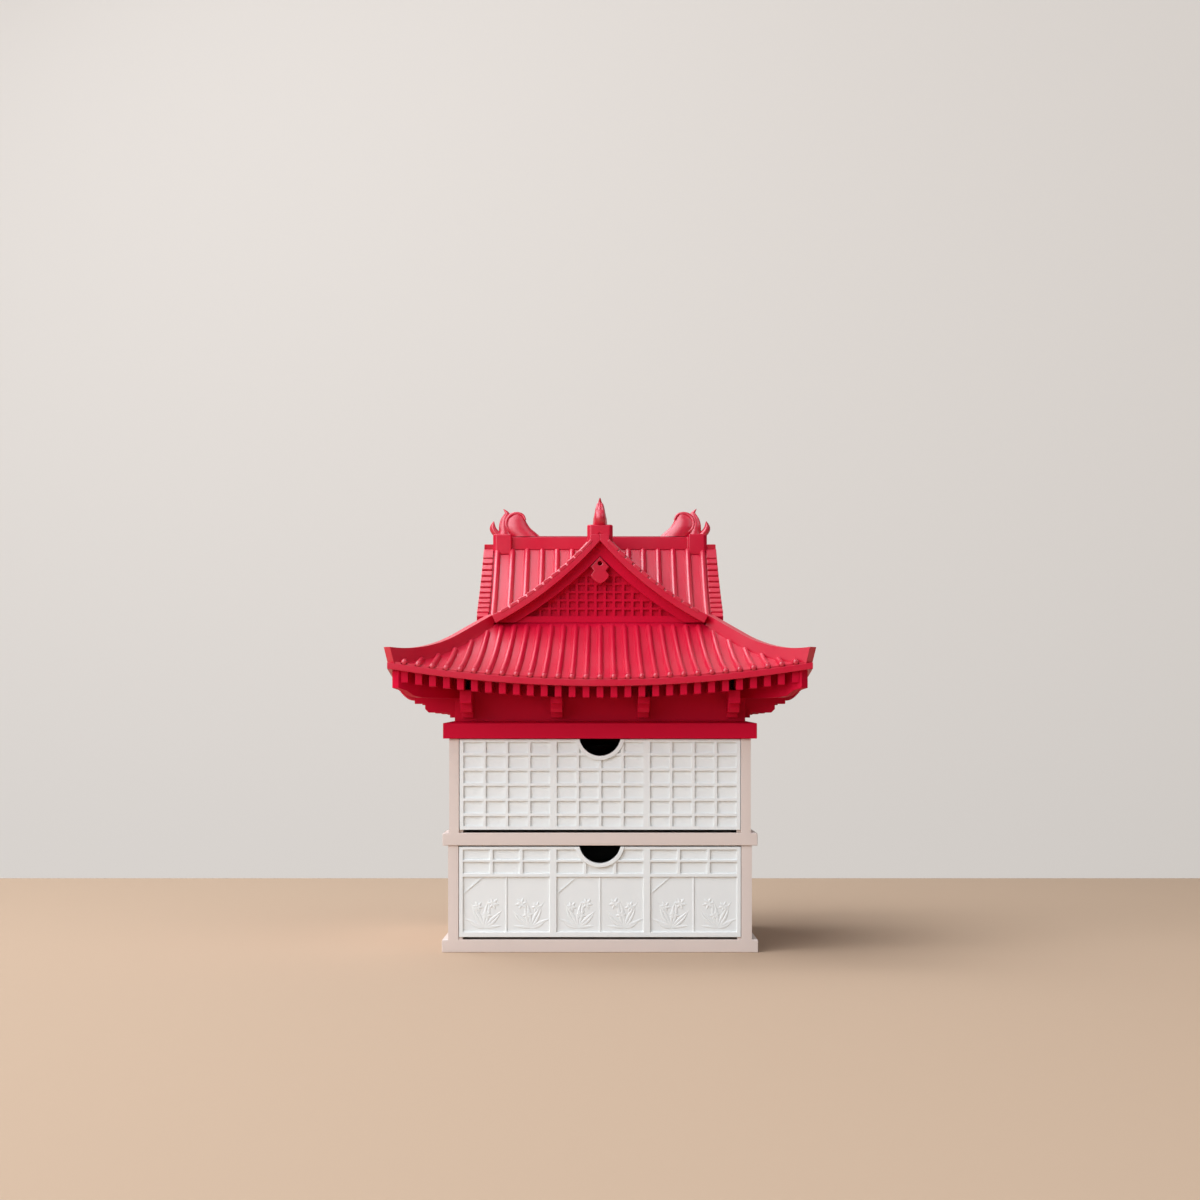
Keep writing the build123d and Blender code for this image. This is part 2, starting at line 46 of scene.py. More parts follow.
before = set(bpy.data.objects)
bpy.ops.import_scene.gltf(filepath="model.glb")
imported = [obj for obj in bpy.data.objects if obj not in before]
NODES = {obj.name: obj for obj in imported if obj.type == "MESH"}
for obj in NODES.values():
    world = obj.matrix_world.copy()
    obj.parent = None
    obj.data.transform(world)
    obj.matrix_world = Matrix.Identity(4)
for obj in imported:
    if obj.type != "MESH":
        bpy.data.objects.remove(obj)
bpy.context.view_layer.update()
MM = 0.001
SIDES = ("front", "right", "back", "left")
CORNERS = ("front_right", "back_right", "back_left", "front_left")

# ---- The skirt roof, in mm: the same slope that the frame has ----
BED_OUTER = 134.0
BED_INNER = 72.0
FLANGE_INNER = 66.0
BED_THICK = 2.6
BED_EAVE_Z = 177.6
BED_TOP_Z = 215.8
BED_EAVE_SLOPE = 0.4
SWEEP_RADIUS = 824.0  # the eave line is an arc that lifts towards the corners
CORNER_INSET = 4.38  # from the diagonal to the hip ridge's side, along the eave
ROLL_PITCH = 8.86
ROLLS_EACH_WAY = 14
ROLL_FAN = 0.105  # how much the rolls close up from the eave to the top
ROLL_FAN_LOSS = 0.8  # the share of that closing which the outermost roll lacks
ROLL_TOP = 77.5
ROLL_SINK = 0.8  # every roll's foot is sunk this deep into its bed
ROLL_ROUNDING = ((1.0, 0.9), (1.7, 0.6), (2.0, 0.25))  # past the top, and the section's share
HIP_OVERLAP = 0.6  # a roll may run this far into the hip ridge
DISC_RAISE = 0.6
DISC_SECTIONS = ((-1.2, 0.98), (0.45, 1.0), (0.7, 0.86))  # past the eave, and the radius's share

# ---- The upper roof, in mm ----
RAKE = ((0.0, 277.2), (39.2, 240.6), (72.2, 219.5))
VERGE_FOOT = ((0.0, 269.5), (39.2, 233.4), (72.2, 213.3))  # the bargeboard's lower edge
TILE_DROP = 2.0
TILE_THICK = 2.6
VERGE_FACE = 80.2  # the bargeboard's face at its head
VERGE_LEAN = 1.6  # how far the bargeboard's foot stands out before its head
VERGE_BACK = -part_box("bargeboard_front")[1].y / MM
WING_END_GAP = 0.2  # from the tile bed to the bargeboard, so that no faces coincide
WING_ROLL_FIRST = 9.2
WING_ROLL_PITCH = 10.33
WING_ROLLS = 7
WING_ROLL_HEAD = 0.3  # a roll's head starts this far under the ridge cap
WING_ROLL_SHORT = 0.2  # and its foot stops this far before the valley
WING_ROLL_ROUNDING = ((0.0, 0.5), (0.3, 0.74), (0.8, 0.9), (1.5, 1.0))  # past the head, share
RIDGE_HALF = 5.0
VERGE_TILES_FROM = 12.9  # the plain stretch at the top of the rake, along X
VERGE_TILES_TO = 66.0
VERGE_END = 71.2
VERGE_END_CUT = 2.6  # the foot's end is cut square to the slope
VERGE_FLAT = 273.7
VERGE_HEAD_HALF = 6.15
VERGE_BARE_TOP = 0.1  # where there are no tiles, the edge stands this far over the rake
VERGE_FOOT_SINK = 1.0  # the board's foot is sunk this deep into the skirt's top
VERGE_SEAT = 1.3  # the verge tiles lie this deep in the bargeboard's top edge
VERGE_TILE_FOOT = 0.6  # and their undersides this much deeper
VERGE_TILE_SINK = 0.35  # a tile's low end lies this far under the rake
VERGE_TILE_PROUD = 0.3  # the tiles stand this far before the bargeboard's face
VERGE_TILE_BEHIND = 0.4  # and this far behind its back
VERGE_GROOVE = 0.45  # between the plain stretch and the first tile
# Shares of a verge tile's length, and of its rise there
VERGE_TILE_SECTIONS = ((0.02, 0.15), (0.1, 0.55), (0.45, 0.9), (0.76, 1.0), (0.85, 0.75))
PENDANT_BACK = 69.6
PENDANT_FACE = 75.3
PENDANT_EDGE = 0.45
PENDANT_HALF = (
    (0.0, 259.2), (6.0, 252.8), (4.0, 250.0), (6.0, 247.4), (5.4, 245.2), (3.2, 243.0), (0.0, 241.2)
)
PENDANT_HOLE_Z = 254.9
PENDANT_HOLE_RADIUS = 1.45
FINIAL_ARCH = (  # height, and half of the finial's width there
    (279.0, 5.7), (286.1, 4.9), (291.6, 3.5), (296.0, 1.7), (299.0, 0.4)
)

# ---- The lower drawer's leaves, in mm ----
RIM_PROUD = 0.5  # the notch's rim stands this far before the bars
BAR_RELIEF = 1.2  # and the bars this far before the leaves
LEAF_FACE = -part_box("lower_drawer_front")[0].y / MM - RIM_PROUD - BAR_RELIEF
PANEL_STARTS = (-89.1, -28.2, 32.7)
PANEL_WIDTH = 56.4
RELIEF_SINK = 0.2  # the relief's back is sunk this deep into the leaf
SPRAY_FOOT_Z = 16.0
SPRAY_PLACES = ((0.27, 1), (0.75, -1))  # share of the panel's width, and the side it leans to
SPRAY_FAN = (174, 6)  # degrees, from the first blade to the last
SPRAY_SHIFT = 1.5  # the blades' root lies this far from the middle, against the lean
BLADE_WIDTH = 2.1
BLADE_REACH = 11.0  # of the outermost blades
BLADE_REACH_MORE = 7.5  # what the middle blades have beyond that
BLADE_REACH_ODD = 1.5  # and every second blade
BLADE_BEND = 0.5  # radians, from the first blade's bend to the last one's
BLADE_SWAY = 0.25  # radians more, to one side and the other in turns
PETAL_WIDTH = 2.0
PETAL_RAISE = 1.15  # the petals' height, as a share of the blades'
PETALS = 6
FLOWER_TURN = 20  # degrees, towards the lean
FLOWERS = ((-5.6, 13.6, 3.7), (4.4, 15.6, 4.1), (0.4, 8.2, 3.6))  # across, up, petal length
BRACE_FOOT = (0.2, 38.2)  # from the panel's start, and height
BRACE_HEAD = (12.8, 48.9)
BRACE_DEPTH = 0.45

# ---- Rounded edges of single pieces, in mm ----
RUNNER_EDGE = 0.2
DRAWER_EDGE = 0.4
RAFTER_EDGE = 0.2
HIP_EDGE = 0.45
PANEL_EDGE = 0.18
VERGE_TILE_EDGE = 0.4
RIDGE_EDGE = 0.95

# ---- Moulded plastic: sizes in mm, shares and strengths ----
DRIFT_SIZE = 70  # how far apart the slow changes of colour are
DRIFT_SHADE = 0.94  # the darker colour's share of the lighter one
HANDLED_SIZE = 22  # size of the patches that handling has left smoother
HANDLED_SPREAD = 0.04  # how much rougher or smoother they are
GRAIN_SIZE = 0.6  # the mould's eggshell texture
GRAIN_DEPTH = 0.05
GRAIN_STRENGTH = 0.15

# ---- The photograph's camera: level, straight in front, framed a little above its own height ----
CAMERA_AT = (0.0, -1.451, 0.1425)
TABLE_FRONT = -3.0
TABLE_BACK = 0.593
BACKDROP_AT = 1.9
BACKDROP_SPAN = (-1.5, 4.0)
STAGE_HALF = 4.0
TABLE_SEEN = 0.0  # the share of the plain colour that the camera sees, whatever the light
WALL_SEEN = 0.6
LAMP_COLOUR = (0.95, 1.0, 1.07)
LAMPS = (  # name, place, target, size, and the property that holds the power
    ("window_light", (-1.6, -1.6, 1.45), (0, 0, 0.12), (3.0, 2.6), "key_power"),
    ("overhead_light", (-0.8, -0.1, 2.0), (0, 0, 0.1), (1.7, 1.7), "top_power"),
    ("fill_light", (1.5, -1.3, 1.7), (0, 0, 0.1), (1.8, 1.8), "fill_power"),
    ("back_light", (-0.95, 0.85, 1.9), (0, 0, 0.2), (1.2, 1.2), "side_power"),
)


# ---------------------------------------------------------------- colours and materials


def linear(hex_colour):
    """An sRGB hex colour as linear RGB."""
    channels = [int(hex_colour[i : i + 2], 16) / 255 for i in (0, 2, 4)]
    return [c / 12.92 if c <= 0.04045 else ((c + 0.055) / 1.055) ** 2.4 for c in channels]


def add_node(tree, kind, settings=None, inputs=None):
    """A shader node with its settings, and its inputs linked to sockets or set to values."""
    node = tree.nodes.new(kind)
    for name, value in (settings or {}).items():
        setattr(node, name, value)
    for key, value in (inputs or {}).items():
        if isinstance(value, bpy.types.NodeSocket):
            tree.links.new(value, node.inputs[key])
        else:
            node.inputs[key].default_value = value
    return node


def moulded_plastic(name, colour, roughness, shine=0.5):
    """Injection-moulded ABS, matt to satin: one colour that drifts by a few hundredths over a
    hand's width, the mould's fine eggshell grain, and patches that handling has left smoother."""
    if name in bpy.data.materials:
        return bpy.data.materials[name]
    material = bpy.data.materials.new(name)
    material.use_nodes = True
    tree = material.node_tree
    tree.nodes.clear()
    place = add_node(tree, "ShaderNodeTexCoord").outputs["Object"]
    drift = add_node(
        tree,
        "ShaderNodeTexNoise",
        inputs={"Vector": place, "Scale": 1 / (DRIFT_SIZE * MM), "Detail": 3.0},
    )
    shade = add_node(
        tree,
        "ShaderNodeMix",
        {"data_type": "RGBA"},
        {
            "Factor": drift.outputs["Fac"],
            "A": list(colour) + [1.0],
            "B": [DRIFT_SHADE * c for c in colour] + [1.0],
        },
    )
    handled = add_node(
        tree,
        "ShaderNodeTexNoise",
        inputs={"Vector": place, "Scale": 1 / (HANDLED_SIZE * MM), "Detail": 2.0},
    )
    gloss = add_node(
        tree,
        "ShaderNodeMapRange",
        inputs={
            "Value": handled.outputs["Fac"],
            "From Min": 0.3,
            "From Max": 0.7,
            "To Min": roughness - HANDLED_SPREAD,
            "To Max": roughness + HANDLED_SPREAD,
        },
    )
    grain = add_node(
        tree,
        "ShaderNodeTexNoise",
        inputs={"Vector": place, "Scale": 1 / (GRAIN_SIZE * MM), "Detail": 2.0},
    )
    bump = add_node(
        tree,
        "ShaderNodeBump",
        inputs={
            "Height": grain.outputs["Fac"],
            "Strength": GRAIN_STRENGTH,
            "Distance": GRAIN_DEPTH * MM,
        },
    )
    shader = add_node(
        tree,
        "ShaderNodeBsdfPrincipled",
        inputs={
            "Base Color": shade.outputs["Result"],
            "Roughness": gloss.outputs["Result"],
            "Normal": bump.outputs["Normal"],
            "IOR": 1.53,
            "Specular IOR Level": shine,
        },
    )
    add_node(tree, "ShaderNodeOutputMaterial", inputs={"Surface": shader.outputs["BSDF"]})
    return material


def case_plastic(scene):
    """Matt beige with a hint of pink, quiet beside the red and the white."""
    return moulded_plastic("moulded_ABS_pinkish_beige", scene.chest_finish.case_colour, 0.5)


def drawer_plastic(scene):
    """Soft white, just smooth enough for a light line on every raised bar."""
    return moulded_plastic("moulded_ABS_warm_white", scene.chest_finish.drawer_colour, 0.48)


ROOF_SKINS = {  # how much rougher than the roof's own roughness, and the shine
    "polished": (0.0, 0.95),  # tiles, hips and finials: the window lays a pink sheen on each roll
    "satin": (0.0, 0.6),  # boards and ridge: a faint sheen over clear crimson
    "matt": (0.19, 0.12),  # the gable walls and all under the eaves: deep red in the shade
}


def roof_plastic(scene, skin="satin"):
    """Clear crimson in one of three skins."""
    finish = scene.chest_finish
    rougher, shine = ROOF_SKINS[skin]
    roughness = finish.roof_roughness + rougher
    return moulded_plastic(f"moulded_ABS_crimson_{skin}", finish.roof_colour, roughness, shine)


def stage_paint(name, colour, seen):
    """Matt paint on the table and the wall. The camera and reflections see a share of the wall's
    own colour, and the rest is lit, so that the object's shadow stays."""
    material = bpy.data.materials.new(name)
    material.use_nodes = True
    tree = material.node_tree
    tree.nodes.clear()
    matt = add_node(
        tree,
        "ShaderNodeBsdfPrincipled",
        inputs={"Base Color": list(colour) + [1.0], "Roughness": 0.9, "Specular IOR Level": 0.2},
    )
    glow = add_node(
        tree, "ShaderNodeEmission", inputs={"Color": list(colour) + [1.0], "Strength": 1.0}
    )
    path = add_node(tree, "ShaderNodeLightPath")
    looked_at = add_node(
        tree,
        "ShaderNodeMath",
        {"operation": "MAXIMUM"},
        {0: path.outputs["Is Camera Ray"], 1: path.outputs["Is Glossy Ray"]},
    )
    looked_at = add_node(
        tree,
        "ShaderNodeMath",
        {"operation": "MAXIMUM"},
        {0: looked_at.outputs["Value"], 1: path.outputs["Is Transmission Ray"]},
    )
    share = add_node(
        tree, "ShaderNodeMath", {"operation": "MULTIPLY"}, {0: looked_at.outputs["Value"], 1: seen}
    )
    mix = add_node(
        tree,
        "ShaderNodeMixShader",
        inputs={0: share.outputs["Value"], 1: matt.outputs["BSDF"], 2: glow.outputs["Emission"]},
    )
    add_node(tree, "ShaderNodeOutputMaterial", inputs={"Surface": mix.outputs["Shader"]})
    return material


# ---------------------------------------------------------------- mesh tools


def quarter_turned(points, quarter):
    """Points in mm on the front side, turned to another side and brought to metres."""
    c, s = ((1, 0), (0, 1), (-1, 0), (0, -1))[quarter]
    return [(MM * (c * x - s * y), MM * (s * x + c * y), MM * z) for x, y, z in points]


def sweep(rings):
    """A closed skin over rings of equal count, capped at both ends, as (points, faces)."""
    count = len(rings[0])
    points = [p for ring in rings for p in ring]
    faces = [tuple(range(count))[::-1]]
    for r in range(len(rings) - 1):
        for i in range(count):
            j = (i + 1) % count
            faces.append((r * count + i, r * count + j, (r + 1) * count + j, (r + 1) * count + i))
    faces.append(tuple(range((len(rings) - 1) * count, len(rings) * count)))
    return points, faces


def joined(shapes):
    points, faces = [], []
    for more_points, more_faces in shapes:
        start = len(points)
        points += list(more_points)
        faces += [tuple(start + i for i in face) for face in more_faces]
    return points, faces


def prism(outline, near, far):
    """An outline in X and Z between two distances in front of the centre."""
    return sweep([[(x, -d, z) for x, z in outline] for d in (near, far)])


def smooth_line(guides, steps):
    """A curve that passes through every guide point, as points."""
    guides = [Vector(g) for g in guides]
    ends = [2 * guides[0] - guides[1]] + guides + [2 * guides[-1] - guides[-2]]
    line = []
    for a, b, c, d in zip(ends, ends[1:], ends[2:], ends[3:]):
        for k in range(steps):
            t = k / steps
            square, cube = 2 * a - 5 * b + 4 * c - d, 3 * b - a - 3 * c + d
            line.append(0.5 * (2 * b + (c - a) * t + square * t**2 + cube * t**3))
    return line + [guides[-1]]


def add_piece(name, shape, material, body, crease=40):
    """A mesh of our own that rides on a body, smooth but for creases."""
    points, faces = shape
    mesh = bpy.data.meshes.new(name)
    mesh.from_pydata(points, [], faces)
    mesh.validate()
    work = bmesh.new()
    work.from_mesh(mesh)
    bmesh.ops.recalc_face_normals(work, faces=work.faces)
    work.to_mesh(mesh)
    work.free()
    mesh.polygons.foreach_set("use_smooth", [True] * len(mesh.polygons))
    mesh.set_sharp_from_angle(angle=math.radians(crease))
    mesh.materials.append(material)
    piece = bpy.data.objects.new(name, mesh)
    bpy.context.scene.collection.objects.link(piece)
    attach(piece, body)
    return piece


def add_round(name, shape, plastic, replaced=None, crease=40):
    """The same piece on all four sides of the roof, in place of the frame's plainer one."""
    pieces = []
    for quarter, side in enumerate(SIDES):
        turned = quarter_turned(shape[0], quarter), shape[1]
        piece = add_piece(f"{name}_{side}", turned, plastic, "roof", crease=crease)
        if replaced:
            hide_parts(f"{replaced}_{side}")
        pieces.append(piece)
    return pieces


def soften(piece, edge_mm, angle=35, segments=2):
    """The small round that a mould leaves on every edge."""
    bevel = piece.modifiers.new("soft_edges", "BEVEL")
    bevel.width = edge_mm * MM
    bevel.segments = segments
    bevel.limit_method = "ANGLE"
    bevel.angle_limit = math.radians(angle)
    bevel.use_clamp_overlap = True
    even = piece.modifiers.new("even_shading", "WEIGHTED_NORMAL")
    even.keep_sharp = False


def finish_node(name, material, edge_mm, segments=2):
    """A CAD node shown as it is, with its edges softened."""
    node = NODES[name]
    node.data.materials.clear()
    node.data.materials.append(material)
    node.data.polygons.foreach_set("use_smooth", [True] * len(node.data.polygons))
    weld = node.modifiers.new("join_faces", "WELD")
    weld.merge_threshold = 0.002 * MM
    soften(node, edge_mm, segments=segments)
    return node


# ---------------------------------------------------------------- the roof's curves


def bed_height(distance):
    """Height of the skirt's bed on the middle line, hollow towards the eave."""
    run = BED_OUTER - distance
    whole = BED_OUTER - BED_INNER
    bend = (BED_TOP_Z - BED_EAVE_Z - BED_EAVE_SLOPE * whole) / whole**2
    return BED_EAVE_Z + BED_EAVE_SLOPE * run + bend * run**2


def bed_lift(x, distance):
    """The corner's lift, which dies away up the slope."""
    share = max(distance - BED_INNER, 0) / (BED_OUTER - BED_INNER)
    return x * x / (2 * SWEEP_RADIUS) * share**2


def circle_through(a, b, c):
    """Centre and radius of the circle through three points."""
    (ax, ay), (bx, by), (cx, cy) = a, b, c
    d = 2 * (ax * (by - cy) + bx * (cy - ay) + cx * (ay - by))
    a2, b2, c2 = ax * ax + ay * ay, bx * bx + by * by, cx * cx + cy * cy
    x = (a2 * (by - cy) + b2 * (cy - ay) + c2 * (ay - by)) / d
    y = (a2 * (cx - bx) + b2 * (ax - cx) + c2 * (bx - ax)) / d
    return (x, y), math.hypot(ax - x, ay - y)


def arc_point(line, x, above=0.0):
    """A point on the arc through three points, or this far to its outer side."""
    centre, radius = circle_through(*line)
    angle = math.acos((x - centre[0]) / radius)
    reach = radius - above
    return centre[0] + reach * math.cos(angle), centre[1] - reach * math.sin(angle)


def rake_height(x, drop):
    return arc_point(RAKE, x)[1] - drop


def rake_slope(x):
    """How steep the rake is, as the angle of its arc."""
    centre, radius = circle_through(*RAKE)
    return math.acos((x - centre[0]) / radius)


def verge_face(z):
    """How far out the bargeboard's face is at a height: it leans out towards its foot."""
    share = (RAKE[0][1] - z) / (RAKE[0][1] - RAKE[2][1])
    return VERGE_FACE + VERGE_LEAN * share


def round_profile(width, height, steps=8):
    """Half of a round bar, standing on a foot that is sunk into the bed."""
    arch = [
        (width / 2 * math.cos(math.pi * k / steps), height * math.sin(math.pi * k / steps))
        for k in range(steps + 1)
    ]
    return [(width / 2, -ROLL_SINK)] + arch + [(-width / 2, -ROLL_SINK)]


# ---------------------------------------------------------------- properties


class ChestFinish(bpy.types.PropertyGroup):
    """Colours and edges of the mouldings."""

    case_colour: FloatVectorProperty(
        name="Case",
        description="Colour of the two storeys",
        default=linear("DCCCC3"),
        subtype="COLOR",
        min=0,
        max=1,
    )
    drawer_colour: FloatVectorProperty(
        name="Drawers",
        description="Colour of the drawers",
        default=linear("EAECEA"),
        subtype="COLOR",
        min=0,
        max=1,
    )
    roof_colour: FloatVectorProperty(
        name="Roof",
        description="Colour of the whole roof",
        default=linear("CC0030"),
        subtype="COLOR",
        min=0,
        max=1,
    )
    roof_roughness: FloatProperty(
        name="Roof roughness",
        description="How satin the roof is",
        default=0.36,
        min=0.1,
        max=0.9,
        subtype="FACTOR",
    )
    case_edge: FloatProperty(
        name="Case edges",
        description="Width of the rounded edges, in mm",
        default=0.45,
        min=0.05,
        max=2,
    )
    roof_edge: FloatProperty(
        name="Roof edges",
        description="Width of the rounded edges, in mm",
        default=0.3,
        min=0.05,
        max=2,
    )


class ChestTiles(bpy.types.PropertyGroup):
    """Sizes of the roof's tiles, in mm."""

    roll_width: FloatProperty(
        name="Roll width",
        description="Width of a tile roll on the skirt, in mm",
        default=4.1,
        min=1,
        max=8,
    )
    roll_height: FloatProperty(
        name="Roll height",
        description="Height of a tile roll on the skirt, in mm",
        default=2.8,
        min=0.5,
        max=6,
    )
    disc_radius: FloatProperty(
        name="End disc",
        description="Radius of the disc at a roll's eave end, in mm",
        default=1.75,
        min=0.5,
        max=4,
    )
    wing_roll_width: FloatProperty(
        name="Upper roll width",
        description="Width of a roll on the upper roof, in mm",
        default=4.5,
        min=1,
        max=8,
    )
    wing_roll_height: FloatProperty(
        name="Upper roll height",
        description="Height of a roll on the upper roof, in mm",
        default=2.6,
        min=0.5,
        max=6,
    )
    verge_pitch: FloatProperty(
        name="Verge pitch",
        description="Length of one verge tile along the rake, in mm",
        default=6.8,
        min=3,
        max=20,
    )
    verge_rise: FloatProperty(
        name="Verge rise",
        description="How far a verge tile bulges, in mm",
        default=0.9,
        min=0.1,
        max=3,
    )


class ChestRelief(bpy.types.PropertyGroup):
    """The low relief on the lower drawer's leaves, in mm."""

    spray_depth: FloatProperty(
        name="Spray depth",
        description="Height of the flower sprays, in mm",
        default=0.26,
        min=0.1,
        max=1.0,
    )
    brace_width: FloatProperty(
        name="Brace width",
        description="Width of the diagonal corner lines, in mm",
        default=0.8,
        min=0.3,
        max=3,
    )
    blades: IntProperty(
        name="Blades", description="Long blades in each spray", default=9, min=3, max=20
    )


class ChestStage(bpy.types.PropertyGroup):
    """Camera, lamps and the plain ground."""

    lens: FloatProperty(
        name="Lens",
        description="Focal length on a 36 mm sensor, in mm",
        default=62.4,
        min=20,
        max=200,
    )
    shift_up: FloatProperty(
        name="Shift",
        description="How far the frame is raised, in widths",
        default=0.111,
        min=0,
        max=0.3,
    )
    key_power: FloatProperty(
        name="Window light",
        description="Power of the large lamp on the left",
        default=88.0,
        min=0,
        unit="POWER",
    )
    top_power: FloatProperty(
        name="Overhead light",
        description="Power of the lamp overhead",
        default=24.0,
        min=0,
        unit="POWER",
    )
    side_power: FloatProperty(
        name="Side light",
        description="Power of the lamp at the back left",
        default=16.0,
        min=0,
        unit="POWER",
    )
    fill_power: FloatProperty(
        name="Fill light",
        description="Power of the weak lamp on the right",
        default=13.0,
        min=0,
        unit="POWER",
    )
    room_light: FloatProperty(
        name="Room light", description="Strength of the dim room", default=0.03, min=0, max=1
    )
    table_colour: FloatVectorProperty(
        name="Table",
        description="Colour of the plain table top",
        default=linear("BBA087"),
        subtype="COLOR",
        min=0,
        max=1,
    )
    wall_colour: FloatVectorProperty(
        name="Wall",
        description="Colour of the plain wall",
        default=linear("E6DFD8"),
        subtype="COLOR",
        min=0,
        max=1,
    )


# ---------------------------------------------------------------- operators: storeys and drawers


class CHEST_OT_storeys(bpy.types.Operator):
    """Finish the two storeys and their runner strips"""

    bl_idname = "chest.storeys"
    bl_label = "Storeys"

    def execute(self, context):
        plastic = case_plastic(context.scene)
        edge = context.scene.chest_finish.case_edge
        for name in ("lower_case", "upper_case"):
            finish_node(name, plastic, edge)
        for level in ("lower", "upper"):
            for hand in ("left", "right"):
                finish_node(f"{level}_runner_{hand}", plastic, RUNNER_EDGE)
        return {"FINISHED"}


class CHEST_OT_drawers(bpy.types.Operator):
    """Finish the drawers' trays and fronts"""

    bl_idname = "chest.drawers"
    bl_label = "Drawers"

    def execute(self, context):
        plastic = drawer_plastic(context.scene)
        for level in ("lower", "upper"):
            finish_node(f"{level}_drawer_box", plastic, DRAWER_EDGE)
            finish_node(f"{level}_drawer_front", plastic, DRAWER_EDGE, segments=3)
        return {"FINISHED"}


def petal(centre, reach, angle, width, depth, bend=0.0, steps=10):
    """A raised blade or petal from a point along an angle, tapered both ways."""
    cx, cz = centre
    rings = []
    for k in range(steps + 1):
        t = k / steps
        turn = angle + bend * (t - 0.3)
        along = reach * t
        x = cx + along * math.cos(turn)
        z = cz + along * math.sin(turn)
        half = max(width / 2 * math.sin(math.pi * min(0.97, 0.06 + 0.9 * t) ** 0.8), 0.08)
        ux, uz = -math.sin(turn), math.cos(turn)
        ring = []
        for q in range(7):
            a = math.pi * q / 6
            rise = depth * math.sin(a) * min(1.0, half / (0.35 * width))
            u, w = ux * half * math.cos(a), uz * half * math.cos(a)
            ring.append((x + u, -(LEAF_FACE + rise), z + w))
        ring.append((x - ux * half, -(LEAF_FACE - RELIEF_SINK), z - uz * half))
        ring.append((x + ux * half, -(LEAF_FACE - RELIEF_SINK), z + uz * half))
        rings.append(ring)
    return sweep(rings)


def flower_spray(middle, lean, blades, depth):
    """A fan of long arching blades with three open flowers, leaning to one side."""
    shapes = []
    root = (middle - lean * SPRAY_SHIFT, SPRAY_FOOT_Z)
    for k in range(blades):
        share = k / (blades - 1)
        angle = math.radians(SPRAY_FAN[0] + (SPRAY_FAN[1] - SPRAY_FAN[0]) * share)
        reach = BLADE_REACH + BLADE_REACH_MORE * math.sin(math.pi * share)
        reach += BLADE_REACH_ODD * (k % 2)
        bend = BLADE_BEND * (share - 0.5) + BLADE_SWAY * lean * (1 if k % 2 else -1)
        shapes.append(petal(root, reach, angle, BLADE_WIDTH, depth, bend=bend))
    for x, z, size in FLOWERS:
        centre = (middle + lean * x, SPRAY_FOOT_Z + z)
        for k in range(PETALS):
            turn = math.radians(90 + 360 / PETALS * k + FLOWER_TURN * lean)
            shapes.append(petal(centre, size, turn, PETAL_WIDTH, depth * PETAL_RAISE, steps=6))
    return shapes


class CHEST_OT_leaf_relief(bpy.types.Operator):
    """Carve the corner lines and flower sprays of the lower drawer's leaves"""

    bl_idname = "chest.leaf_relief"
    bl_label = "Leaf Relief"

    def execute(self, context):
        relief = context.scene.chest_relief
        plastic = drawer_plastic(context.scene)
        sprays, braces = [], []
        half = relief.brace_width / 2
        for start in PANEL_STARTS:
            for leaf, lean in SPRAY_PLACES:
                middle = start + leaf * PANEL_WIDTH
                sprays += flower_spray(middle, lean, relief.blades, relief.spray_depth)
            foot, head = start + BRACE_FOOT[0], start + BRACE_HEAD[0]
            brace = [
                (foot, BRACE_FOOT[1] - half),
                (head + half, BRACE_HEAD[1]),
                (head - half, BRACE_HEAD[1]),
                (foot, BRACE_FOOT[1] + half),
            ]
            braces.append(prism(brace, LEAF_FACE - RELIEF_SINK, LEAF_FACE + BRACE_DEPTH))
        for name, shapes in (("flower_sprays", sprays), ("corner_lines", braces)):
            points, faces = joined(shapes)
            shape = quarter_turned(points, 0), faces
            add_piece(name, shape, plastic, "lower_drawer", crease=50)
        return {"FINISHED"}


# ---------------------------------------------------------------- operators: eaves


class CHEST_OT_roof_base(bpy.types.Operator):
    """Finish the red sill, the wall band and the brackets"""

    bl_idname = "chest.roof_base"
    bl_label = "Roof Base"

    def execute(self, context):
        plastic = roof_plastic(context.scene, "matt")
        edge = context.scene.chest_finish.roof_edge
        finish_node("roof_sill", plastic, edge)
        finish_node("roof_wall", plastic, edge)
        for side in SIDES:
            finish_node(f"brackets_{side}", plastic, edge)
        return {"FINISHED"}


class CHEST_OT_eaves(bpy.types.Operator):
    """Finish the eave boards, the rows of rafters, the corner rafters and the hip ridges"""

    bl_idname = "chest.eaves"
    bl_label = "Eaves"

    def execute(self, context):
        plastic = roof_plastic(context.scene)
        matt_plastic = roof_plastic(context.scene, "matt")
        hip_plastic = roof_plastic(context.scene, "polished")
        edge = context.scene.chest_finish.roof_edge
        for side in SIDES:
            finish_node(f"eave_board_{side}", plastic, edge)
            finish_node(f"rafters_{side}", matt_plastic, RAFTER_EDGE)
        for corner in CORNERS:
            finish_node(f"corner_rafter_{corner}", matt_plastic, edge)
            finish_node(f"corner_ridge_{corner}", hip_plastic, HIP_EDGE)
        return {"FINISHED"}


def skirt_bed():
    """The hollow tile bed of one slope, between the two hip ridges."""
    rings = []
    across, up = 24, 14
    distances = [BED_OUTER + (BED_INNER - BED_OUTER) * k / up for k in range(up + 1)]
    for distance in distances + [FLANGE_INNER]:
        half = distance - CORNER_INSET
        level = bed_height(max(distance, BED_INNER))
        xs = [half * (2 * i / across - 1) for i in range(across + 1)]
        top = [(x, -distance, level + bed_lift(x, distance)) for x in xs]
        low = [(x, -distance, z - BED_THICK) for x, _, z in reversed(top)]
        rings.append(top + low)
    return sweep(rings)


